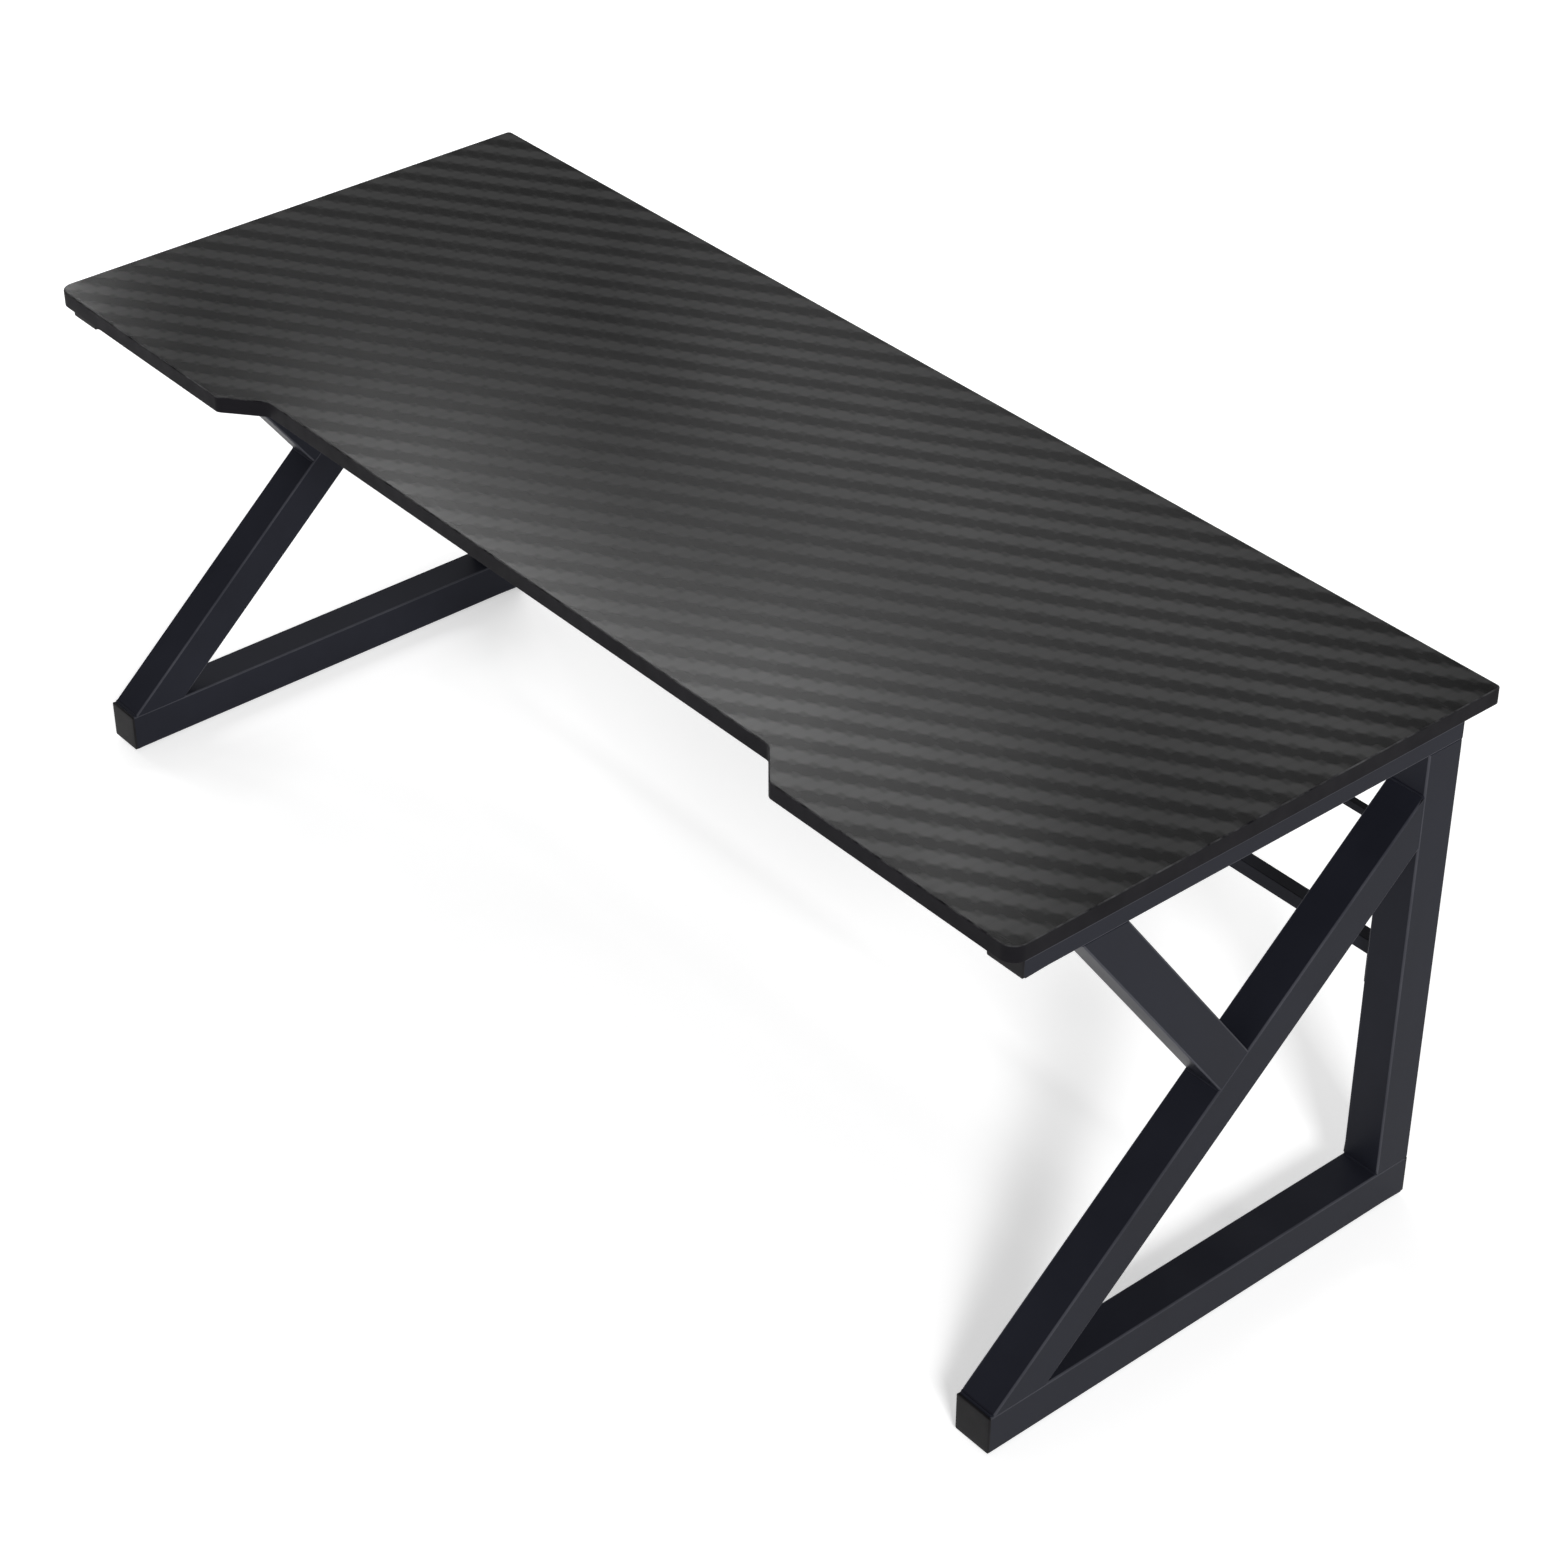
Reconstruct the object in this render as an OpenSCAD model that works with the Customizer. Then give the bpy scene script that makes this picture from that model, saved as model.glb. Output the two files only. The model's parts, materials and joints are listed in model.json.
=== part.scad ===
/* [Desktop] */
// Length of the desktop, left to right
desk_len = 1860; // [1400:10:2000]
// Depth of the desktop, front to back
desk_dep = 745; // [700:5:800]
// Height of the top surface above the floor
desk_h = 726; // [700:1:780]
// Thickness of the whole desktop board
board_t = 22; // [18:1:28]
// Thickness of the laminate sheet on each face of the core
laminate_t = 0.8; // [0.4:0.1:1.2]
// Thickness of the plastic band around the edge
band_t = 2; // [1:0.5:3]
// Radius of the two front corners
corner_r = 20; // [8:1:40]
// Radius of the two back corners
back_corner_r = 6; // [4:1:40]

/* [Front recess] */
// Width of the recess at the front edge
recess_outer_w = 1090; // [600:10:1200]
// Width of the recess at its back edge
recess_inner_w = 984; // [500:2:1060]
// Depth of the recess
recess_dep = 44; // [20:1:60]
// Rounding of the recess corners
recess_r = 12; // [4:1:16]

/* [Leg frames] */
// Outer size of the square leg tubes
tube = 55; // [40:1:60]
// Wall thickness of all steel tubes
wall = 1.5; // [1.2:0.1:2.5]
// Gap between the end of the desktop and the outer face of a leg
leg_inset = 2; // [1:1:20]
// Distance from the front edge of the desktop to the back face of the posts
leg_dep = 690; // [660:5:700]
// Height of the rectangular rail under the desktop
rail_h = 25; // [25:1:40]
// Distance from the front edge of the desktop to the front of the rail
rail_setback = 18; // [2:1:40]
// Slope of the long diagonal brace above the horizontal, in degrees
long_brace_angle = 41.8; // [38:0.1:43]
// Distance from the front of the base tube to the toe of the long brace
long_brace_toe = 6; // [4:1:20]
// Slope of the short diagonal brace below the horizontal, in degrees
short_brace_angle = 54; // [50:0.5:60]
// Distance from the front edge to the middle of the top of the short brace
short_brace_y = 137; // [125:0.5:150]

/* [Stretchers and beams] */
// Size of the square tube of the lower back stretcher
lower_bar = 20; // [18:1:25]
// Height of the middle of the lower back stretcher
lower_bar_z = 360; // [300:5:400]
// Size of the square bar of the upper back stretcher
upper_bar = 10; // [8:1:14]
// Height of the middle of the upper back stretcher
upper_bar_z = 535; // [480:5:560]
// Width of the flat beams under the desktop
beam_w = 40; // [30:1:50]
// Height of the flat beams under the desktop
beam_h = 20; // [15:1:22]
// Distance from the front edge to the middle of the front beam
front_beam_y = 220; // [215:5:260]
// Distance from the front edge to the middle of the back beam
rear_beam_y = 540; // [500:5:560]

/* [Feet] */
// Gap between the base tube and the floor with the foot screwed in
foot_gap = 6; // [6:0.5:10]
// Radius of the foot pad
foot_r = 18; // [14:1:20]
// Distance from each end of the base tube to its foot
foot_end_dist = 45; // [40:1:80]
// Length of the threaded stud above the pad
stud_len = 32; // [28:1:40]

/* [Hidden] */
$fn = 48;

steel_color = [0.17, 0.18, 0.21];
top_color = [0.25, 0.25, 0.25];
band_color = [0.12, 0.12, 0.14];
core_color = [0.62, 0.5, 0.36];
plastic_color = [0.08, 0.08, 0.09];
zinc_color = [0.66, 0.67, 0.68];

eps = 1; // overrun of a cut past the face that it opens

// Heights
board_z = desk_h - board_t;
core_z = board_z + laminate_t;
core_t = board_t - 2 * laminate_t;
rail_z = board_z - rail_h;
base_z = foot_gap;
base_top_z = base_z + tube;

// Leg frame, measured on the right-hand leg
leg_out_x = desk_len / 2 - leg_inset;
leg_in_x = leg_out_x - tube;
leg_mid_x = leg_out_x - tube / 2;
post_y = leg_dep - tube;
post_mid_y = leg_dep - tube / 2;

// Plugs that close the ends of the tubes
base_plug_t = 3;
rail_plug_t = 2;
plug_depth = 15;
plug_clear = 0.2;
plug_wall = 2.5;

// Fasteners: M6 bolts in rivet nuts, 4 mm wood screws, M8 foot studs
bolt_r = 3;
bolt_head_r = 5.5;
bolt_head_h = 3.5;
bolt_len = 20;
bolt_clear = 0.3;
nut_r = 4.5;
nut_len = 14;
thread_clear = 0.05;
hex_socket_r = 2.3;
hex_socket_deep = 2.2;
screw_r = 2;
screw_len = 15;
screw_head_r = 4.2;
screw_head_h = 2.5;
screw_hole_clear = 0.6;
pilot_clear = 0.1;
access_r = 6;
recess_cross_w = 1.2;
recess_cross_l = 4.8;
recess_cross_deep = 1.4;
stud_r = 4;
foot_nut_r = 5.5;
foot_nut_flange_r = 8;
foot_nut_flange_t = 1.2;
foot_nut_len = 16;
pad_t = 4;
pad_collar_r = 7;
pad_collar_t = 0.4;

// End plates of the cross bars
lower_plate = [4, 45, 76];
upper_plate = [4, 34, 52];
beam_plate = [3, beam_w + 38, 23];
lower_bolt_dz = 27;
upper_bolt_dz = 17;
beam_bolt_dy = beam_w / 2 + 10;
beam_plate_z = rail_z + rail_h / 2;
cross_half = leg_in_x - lower_plate[0];
beam_half = leg_in_x - beam_plate[0];

// Screw places
rail_screw_ys = [60, 260, 430, 600];
beam_screw_xs = [-600, 0, 600];
beam_ys = [front_beam_y, rear_beam_y];
foot_ys = [foot_end_dist, leg_dep - foot_end_dist];

// Arc of n steps that rounds the corner b between its neighbours a and c with radius r
function unit(v) = v / norm(v);
function fillet(a, b, c, r, n = 8) =
    let (u = unit(a - b), w = unit(c - b), half = acos(u * w) / 2,
        centre = b + unit(u + w) * r / sin(half),
        start = b + u * r / tan(half) - centre,
        end = b + w * r / tan(half) - centre,
        turn = atan2(cross(start, end), start * end), first = atan2(start[1], start[0]))
    [for (i = [0:n]) centre + r * [cos(first + turn * i / n), sin(first + turn * i / n)]];

// Corner b moved d inward, where the outline runs a, b, c with its inside on the left
function is_convex(a, b, c) = cross(b - a, c - b) > 0;
function inward(a, b, c, d) =
    let (u = unit(a - b), w = unit(c - b), side = is_convex(a, b, c) ? 1 : -1)
    b + side * (u + w) * d / norm(cross([u[0], u[1], 0], [w[0], w[1], 0]));

// Outline of the desktop, seen from above, with its front edge on Y = 0
desk_corners = [[-desk_len / 2, 0], [-recess_outer_w / 2, 0], [-recess_inner_w / 2, recess_dep],
    [recess_inner_w / 2, recess_dep], [recess_outer_w / 2, 0], [desk_len / 2, 0],
    [desk_len / 2, desk_dep], [-desk_len / 2, desk_dep]];
corner_radii = [corner_r, recess_r, recess_r, recess_r, recess_r, corner_r, back_corner_r, back_corner_r];
corner_n = len(desk_corners);
function corner(i) = desk_corners[(i + corner_n) % corner_n];
function inset_corner(i, d) = inward(corner(i - 1), corner(i), corner(i + 1), d);
function inset_radius(i, d) = corner_radii[i] + (is_convex(corner(i - 1), corner(i), corner(i + 1)) ? -d : d);
function desk_outline(d) = [for (i = [0:corner_n - 1])
    each fillet(inset_corner(i - 1, d), inset_corner(i, d), inset_corner(i + 1, d), inset_radius(i, d))];

// The origin is on the floor under the middle of the desktop; Y below counts from its front edge
module from_front() { translate([0, -desk_dep / 2, 0]) children(); }
module on_side(side) { from_front() mirror([side < 0 ? 1 : 0, 0, 0]) children(); }

module flat_sheet(z, t) { translate([0, 0, z]) linear_extrude(t) polygon(desk_outline(band_t)); }

// Holes of the wood screws that hold the desktop
module desktop_screw_holes(r, z, depth) {
    for (side = [-1, 1], y = rail_screw_ys) translate([side * leg_mid_x, y, z]) cylinder(r = r, h = depth);
    for (x = beam_screw_xs, y = beam_ys) translate([x, y, z]) cylinder(r = r, h = depth);
}

// Particleboard core of the desktop
module desktop_core() {
    color(core_color) from_front() difference() {
        flat_sheet(core_z, core_t);
        desktop_screw_holes(screw_r + pilot_clear, core_z - eps, screw_len + eps);
    }
}

// Carbon-pattern laminate on the working surface
module top_laminate() { color(top_color) from_front() flat_sheet(core_z + core_t, laminate_t); }

// Plain backing laminate
module underside_laminate() {
    color(band_color) from_front() difference() {
        flat_sheet(board_z, laminate_t);
        desktop_screw_holes(screw_r + pilot_clear, board_z - eps, laminate_t + 2 * eps);
    }
}

// Plastic band that covers the whole edge
module edge_band() {
    color(band_color) from_front() translate([0, 0, board_z]) linear_extrude(board_t) difference() {
        polygon(desk_outline(0));
        polygon(desk_outline(band_t));
    }
}

// Open tube along +Y, of width w in X and height h in Z
module tube_along_y(w, l, h) {
    difference() {
        cube([w, l, h]);
        translate([wall, -eps, wall]) cube([w - 2 * wall, l + 2 * eps, h - 2 * wall]);
    }
}

// Open tube along +X, of depth w in Y and height h in Z
module tube_along_x(l, w, h) {
    difference() {
        cube([l, w, h]);
        translate([-eps, wall, wall]) cube([l + 2 * eps, w - 2 * wall, h - 2 * wall]);
    }
}

// Outline in Y and Z, extruded across the width of a leg
module across_leg(points, inset = 0) {
    translate([leg_in_x + inset, 0, 0]) rotate([90, 0, 90]) linear_extrude(tube - 2 * inset) polygon(points);
}

// Row of round holes along +X through the inner wall of a leg, at [y, z] places
module inner_wall_holes(places, r) {
    for (p = places) translate([leg_in_x - eps, p[0], p[1]]) rotate([0, 90, 0]) cylinder(r = r, h = wall + 2 * eps);
}

lower_bolt_places = [for (s = [-1, 1]) [post_mid_y, lower_bar_z + s * lower_bolt_dz]];
upper_bolt_places = [for (s = [-1, 1]) [post_mid_y, upper_bar_z + s * upper_bolt_dz]];
beam_bolt_places = [for (y = beam_ys, s = [-1, 1]) [y + s * beam_bolt_dy, beam_plate_z]];

// Rail that carries the desktop, with screw holes above and access holes below
module rail(side) {
    start_y = rail_setback + rail_plug_t;
    color(steel_color) on_side(side) difference() {
        translate([leg_in_x, start_y, rail_z]) tube_along_y(tube, leg_dep - rail_plug_t - start_y, rail_h);
        for (y = rail_screw_ys) translate([leg_mid_x, y, 0]) {
            translate([0, 0, board_z - wall - eps]) cylinder(r = screw_r + screw_hole_clear, h = wall + 2 * eps);
            translate([0, 0, rail_z - eps]) cylinder(r = access_r, h = wall + 2 * eps);
        }
        inner_wall_holes(beam_bolt_places, nut_r);
    }
}

// Upright at the back of a leg
module post(side) {
    color(steel_color) on_side(side) difference() {
        translate([leg_in_x, post_y, base_top_z]) cube([tube, tube, rail_z - base_top_z]);
        translate([leg_in_x + wall, post_y + wall, base_top_z - eps])
            cube([tube - 2 * wall, tube - 2 * wall, rail_z - base_top_z + 2 * eps]);
        inner_wall_holes(concat(lower_bolt_places, upper_bolt_places), nut_r);
    }
}

// Tube on the floor, front to back
module base(side) {
    color(steel_color) on_side(side) difference() {
        translate([leg_in_x, base_plug_t, base_z]) tube_along_y(tube, leg_dep - 2 * base_plug_t, tube);
        for (y = foot_ys) translate([leg_mid_x, y, base_z - eps]) cylinder(r = foot_nut_r, h = wall + 2 * eps);
    }
}

// Point of the long brace that is d below its upper face, at a height z or at a depth y
function long_brace_at_z(d, z) =
    [long_brace_toe + d / sin(long_brace_angle) + (z - base_top_z) / tan(long_brace_angle), z];
function long_brace_at_y(d, y) =
    [y, base_top_z + (y - long_brace_toe) * tan(long_brace_angle) - d / cos(long_brace_angle)];

// Long diagonal brace, from the front of the base up to the post
module long_brace(side) {
    color(steel_color) on_side(side) difference() {
        across_leg([long_brace_at_z(0, base_top_z), long_brace_at_z(tube, base_top_z),
            long_brace_at_y(tube, post_y), long_brace_at_y(0, post_y)]);
        across_leg([long_brace_at_z(wall, base_top_z - eps), long_brace_at_z(tube - wall, base_top_z - eps),
            long_brace_at_y(tube - wall, post_y + eps), long_brace_at_y(wall, post_y + eps)], wall);
    }
}

// Face of the short brace that is d in front of its middle: its point under the rail,
// and its point at d2 below the upper face of the long brace
function short_brace_top(d, z) =
    [short_brace_y - d / sin(short_brace_angle) + (rail_z - z) / tan(short_brace_angle), z];
function short_brace_foot(d, d2) =
    let (top = short_brace_top(d, rail_z), low = long_brace_at_y(d2, top[0]),
        run = (top[1] - low[1]) / (tan(short_brace_angle) + tan(long_brace_angle)))
    [top[0] + run, top[1] - run * tan(short_brace_angle)];

// Short diagonal brace, from the front of the rail down to the long brace
module short_brace(side) {
    half = tube / 2;
    color(steel_color) on_side(side) difference() {
        across_leg([short_brace_top(half, rail_z), short_brace_foot(half, 0),
            short_brace_foot(-half, 0), short_brace_top(-half, rail_z)]);
        across_leg([short_brace_top(half - wall, rail_z + eps), short_brace_foot(half - wall, eps),
            short_brace_foot(wall - half, eps), short_brace_top(wall - half, rail_z + eps)], wall);
    }
}

// Bar across the back of the desk, low down
module lower_stretcher() {
    color(steel_color) from_front()
        translate([-cross_half, post_mid_y - lower_bar / 2, lower_bar_z - lower_bar / 2])
        tube_along_x(2 * cross_half, lower_bar, lower_bar);
}

// Slim solid bar across the back of the desk, higher up
module upper_stretcher() {
    color(steel_color) from_front()
        translate([-cross_half, post_mid_y - upper_bar / 2, upper_bar_z - upper_bar / 2])
        cube([2 * cross_half, upper_bar, upper_bar]);
}

// Flat tube under the desktop, with screw holes above and access holes below
module beam(y) {
    color(steel_color) from_front() difference() {
        translate([-beam_half, y - beam_w / 2, board_z - beam_h]) tube_along_x(2 * beam_half, beam_w, beam_h);
        for (x = beam_screw_xs) translate([x, y, 0]) {
            translate([0, 0, board_z - wall - eps]) cylinder(r = screw_r + screw_hole_clear, h = wall + 2 * eps);
            translate([0, 0, board_z - beam_h - eps]) cylinder(r = access_r, h = wall + 2 * eps);
        }
    }
}

// Plate on the inner face of a leg, centred on y and z, with its bolt holes
module end_plate(side, size, y, z, places) {
    color(steel_color) on_side(side) difference() {
        translate([leg_in_x - size[0], y - size[1] / 2, z - size[2] / 2]) cube(size);
        for (p = places) translate([leg_in_x - size[0] - eps, p[0], p[1]])
            rotate([0, 90, 0]) cylinder(r = bolt_r + bolt_clear, h = size[0] + 2 * eps);
    }
}
module lower_plate(side) { end_plate(side, lower_plate, post_mid_y, lower_bar_z, lower_bolt_places); }
module upper_plate(side) { end_plate(side, upper_plate, post_mid_y, upper_bar_z, upper_bolt_places); }
module beam_end_plate(side, y) {
    end_plate(side, beam_plate, y, beam_plate_z, [for (s = [-1, 1]) [y + s * beam_bolt_dy, beam_plate_z]]);
}

// Plug for a tube of width w and height h: a flat cap on +Y = 0..t, and a hollow skirt inside the tube
module tube_plug(w, h, t) {
    gap = wall + plug_clear;
    core = gap + plug_wall;
    cube([w, t, h]);
    difference() {
        translate([gap, t, gap]) cube([w - 2 * gap, plug_depth, h - 2 * gap]);
        translate([core, t + eps, core]) cube([w - 2 * core, plug_depth, h - 2 * core]);
    }
}
module base_front_plug(side) {
    color(plastic_color) on_side(side) translate([leg_in_x, 0, base_z]) tube_plug(tube, tube, base_plug_t);
}
module base_rear_plug(side) {
    color(plastic_color) on_side(side) translate([leg_in_x, leg_dep, base_z])
        mirror([0, 1, 0]) tube_plug(tube, tube, base_plug_t);
}
module rail_front_plug(side) {
    color(plastic_color) on_side(side) translate([leg_in_x, rail_setback, rail_z])
        tube_plug(tube, rail_h, rail_plug_t);
}
module rail_rear_plug(side) {
    color(plastic_color) on_side(side) translate([leg_in_x, leg_dep, rail_z])
        mirror([0, 1, 0]) tube_plug(tube, rail_h, rail_plug_t);
}

// Button-head bolt along +X, with the underside of its head on X = 0
module bolt() {
    difference() {
        union() {
            translate([-bolt_head_h, 0, 0]) rotate([0, 90, 0]) cylinder(r = bolt_head_r, h = bolt_head_h);
            rotate([0, 90, 0]) cylinder(r = bolt_r, h = bolt_len);
        }
        translate([-bolt_head_h - eps, 0, 0]) rotate([0, 90, 0])
            cylinder(r = hex_socket_r, h = hex_socket_deep + eps, $fn = 6);
    }
}

// Rivet nut along +X, flush with the outside of the wall on X = 0
module rivet_nut() {
    rotate([0, 90, 0]) difference() {
        cylinder(r = nut_r, h = nut_len);
        translate([0, 0, -eps]) cylinder(r = bolt_r + thread_clear, h = nut_len + 2 * eps);
    }
}
module bolts(places, plate_t) {
    for (side = [-1, 1], p = places) on_side(side) translate([leg_in_x - plate_t, p[0], p[1]]) bolt();
}
module nuts(places) {
    for (side = [-1, 1], p = places) on_side(side) translate([leg_in_x, p[0], p[1]]) rivet_nut();
}
module stretcher_bolts() { color(zinc_color) bolts(concat(lower_bolt_places, upper_bolt_places), lower_plate[0]); }
module stretcher_nuts() { color(zinc_color) nuts(concat(lower_bolt_places, upper_bolt_places)); }
module beam_bolts() { color(zinc_color) bolts(beam_bolt_places, beam_plate[0]); }
module beam_nuts() { color(zinc_color) nuts(beam_bolt_places); }

// Pan-head wood screw along +Z, with the top of its head on Z = 0
module wood_screw() {
    difference() {
        union() {
            translate([0, 0, -screw_head_h]) cylinder(r = screw_head_r, h = screw_head_h);
            cylinder(r = screw_r, h = screw_len);
        }
        for (a = [0, 90]) rotate([0, 0, a])
            translate([-recess_cross_l / 2, -recess_cross_w / 2, -screw_head_h - eps])
            cube([recess_cross_l, recess_cross_w, recess_cross_deep + eps]);
    }
}
module rail_screws() {
    color(zinc_color) for (side = [-1, 1], y = rail_screw_ys)
        on_side(side) translate([leg_mid_x, y, board_z - wall]) wood_screw();
}
module beam_screws() {
    color(zinc_color) from_front() for (x = beam_screw_xs, y = beam_ys)
        translate([x, y, board_z - wall]) wood_screw();
}

// Threaded nuts pressed up into the base tubes, one for each foot
module foot_nuts() {
    color(zinc_color) for (side = [-1, 1], y = foot_ys) on_side(side) translate([leg_mid_x, y, base_z])
        difference() {
            union() {
                translate([0, 0, -foot_nut_flange_t]) cylinder(r = foot_nut_flange_r, h = foot_nut_flange_t);
                cylinder(r = foot_nut_r, h = foot_nut_len);
            }
            translate([0, 0, -foot_nut_flange_t - eps])
                cylinder(r = stud_r + thread_clear, h = foot_nut_len + foot_nut_flange_t + 2 * eps);
        }
}

// Plastic pad of a levelling foot, with the socket for its stud
module foot_pad(side, y) {
    color(plastic_color) on_side(side) translate([leg_mid_x, y, 0]) difference() {
        union() {
            cylinder(r = foot_r, h = pad_t);
            translate([0, 0, pad_t]) cylinder(r = pad_collar_r, h = pad_collar_t);
        }
        translate([0, 0, pad_t / 2]) cylinder(r = stud_r, h = pad_t);
    }
}

// Threaded stud of a levelling foot
module foot_stud(side, y) {
    color(zinc_color) on_side(side) translate([leg_mid_x, y, pad_t / 2]) cylinder(r = stud_r, h = stud_len);
}

desktop_core();
top_laminate();
underside_laminate();
edge_band();
rail(-1);  // left_rail
rail(1);  // right_rail
post(-1);  // left_post
post(1);  // right_post
base(-1);  // left_base
base(1);  // right_base
long_brace(-1);  // left_long_brace
long_brace(1);  // right_long_brace
short_brace(-1);  // left_short_brace
short_brace(1);  // right_short_brace
lower_stretcher();
lower_plate(-1);  // left_lower_plate
lower_plate(1);  // right_lower_plate
upper_stretcher();
upper_plate(-1);  // left_upper_plate
upper_plate(1);  // right_upper_plate
beam(front_beam_y);  // front_beam
beam_end_plate(-1, front_beam_y);  // left_front_beam_plate
beam_end_plate(1, front_beam_y);  // right_front_beam_plate
beam(rear_beam_y);  // rear_beam
beam_end_plate(-1, rear_beam_y);  // left_rear_beam_plate
beam_end_plate(1, rear_beam_y);  // right_rear_beam_plate
base_front_plug(-1);  // left_base_front_plug
base_rear_plug(-1);  // left_base_rear_plug
base_front_plug(1);  // right_base_front_plug
base_rear_plug(1);  // right_base_rear_plug
rail_front_plug(-1);  // left_rail_front_plug
rail_rear_plug(-1);  // left_rail_rear_plug
rail_front_plug(1);  // right_rail_front_plug
rail_rear_plug(1);  // right_rail_rear_plug
stretcher_bolts();
stretcher_nuts();
beam_bolts();
beam_nuts();
rail_screws();
beam_screws();
foot_nuts();
foot_pad(-1, foot_ys[0]);  // left_front_foot_pad
foot_stud(-1, foot_ys[0]);  // left_front_foot_stud
foot_pad(1, foot_ys[0]);  // right_front_foot_pad
foot_stud(1, foot_ys[0]);  // right_front_foot_stud
foot_pad(-1, foot_ys[1]);  // left_rear_foot_pad
foot_stud(-1, foot_ys[1]);  // left_rear_foot_stud
foot_pad(1, foot_ys[1]);  // right_rear_foot_pad
foot_stud(1, foot_ys[1]);  // right_rear_foot_stud
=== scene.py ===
"""Looks of a straight gaming desk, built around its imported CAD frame.

Everything is in metres in the row frame: +X to the right, +Y to the back, +Z up, floor on Z = 0.
"""

import json
import math

import bmesh
import bpy
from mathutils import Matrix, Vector


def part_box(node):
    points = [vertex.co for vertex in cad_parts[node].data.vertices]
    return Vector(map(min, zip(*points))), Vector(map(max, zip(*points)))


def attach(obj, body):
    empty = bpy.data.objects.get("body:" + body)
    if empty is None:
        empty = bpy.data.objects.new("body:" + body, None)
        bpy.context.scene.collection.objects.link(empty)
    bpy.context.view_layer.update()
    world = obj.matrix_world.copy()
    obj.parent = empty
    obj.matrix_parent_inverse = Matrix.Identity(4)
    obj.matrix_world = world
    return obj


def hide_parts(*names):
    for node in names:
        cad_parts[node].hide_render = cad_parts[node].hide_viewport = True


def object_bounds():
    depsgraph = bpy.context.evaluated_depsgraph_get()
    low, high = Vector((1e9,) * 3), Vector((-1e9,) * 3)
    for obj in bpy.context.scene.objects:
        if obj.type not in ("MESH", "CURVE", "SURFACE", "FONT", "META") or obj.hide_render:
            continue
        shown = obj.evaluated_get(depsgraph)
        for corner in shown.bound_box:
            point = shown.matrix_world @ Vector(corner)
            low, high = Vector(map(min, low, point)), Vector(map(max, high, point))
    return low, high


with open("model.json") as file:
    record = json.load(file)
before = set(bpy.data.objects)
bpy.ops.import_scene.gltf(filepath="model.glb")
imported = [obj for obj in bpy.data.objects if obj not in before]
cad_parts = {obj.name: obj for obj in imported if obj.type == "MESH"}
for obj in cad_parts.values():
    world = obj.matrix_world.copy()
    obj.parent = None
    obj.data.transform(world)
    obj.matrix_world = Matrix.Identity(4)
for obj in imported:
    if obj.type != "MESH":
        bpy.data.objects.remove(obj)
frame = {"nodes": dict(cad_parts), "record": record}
NODES = frame["nodes"]
CAD_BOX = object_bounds()
MM = 0.001
SIDES = ("left", "right")
ENDS = ("front", "rear")
SAME_PLACE = 0.05 * MM
TOP = CAD_BOX[1][2]


# ---------------------------------------------------------------- camera

CAMERA_AZIMUTH = 50.054
CAMERA_ELEVATION = 35.481
CAMERA_PLACE = (2.9862, -2.4006, 2.99)
CAMERA_LENS = 83.65
CAMERA_SENSOR = 36.0
CAMERA_REACH = 100


def add_camera():
    """The camera at the viewing angle of the photograph."""
    a, e = math.radians(CAMERA_AZIMUTH), math.radians(CAMERA_ELEVATION)
    back = Vector((math.sin(a) * math.cos(e), -math.cos(a) * math.cos(e), math.sin(e)))
    data = bpy.data.cameras.new("camera")
    data.lens = CAMERA_LENS
    data.sensor_width = CAMERA_SENSOR
    data.clip_end = CAMERA_REACH
    camera = bpy.data.objects.new("camera", data)
    camera.location = CAMERA_PLACE
    camera.rotation_euler = (-back).to_track_quat("-Z", "Y").to_euler()
    bpy.context.scene.collection.objects.link(camera)
    bpy.context.scene.camera = camera


add_camera()


# ---------------------------------------------------------------- materials

# a Mix node has sockets of the same name for each kind of value, so the colour ones go by number
MIX_FIRST_COLOUR = 6
MIX_SECOND_COLOUR = 7
MIX_COLOUR_RESULT = 2


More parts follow.
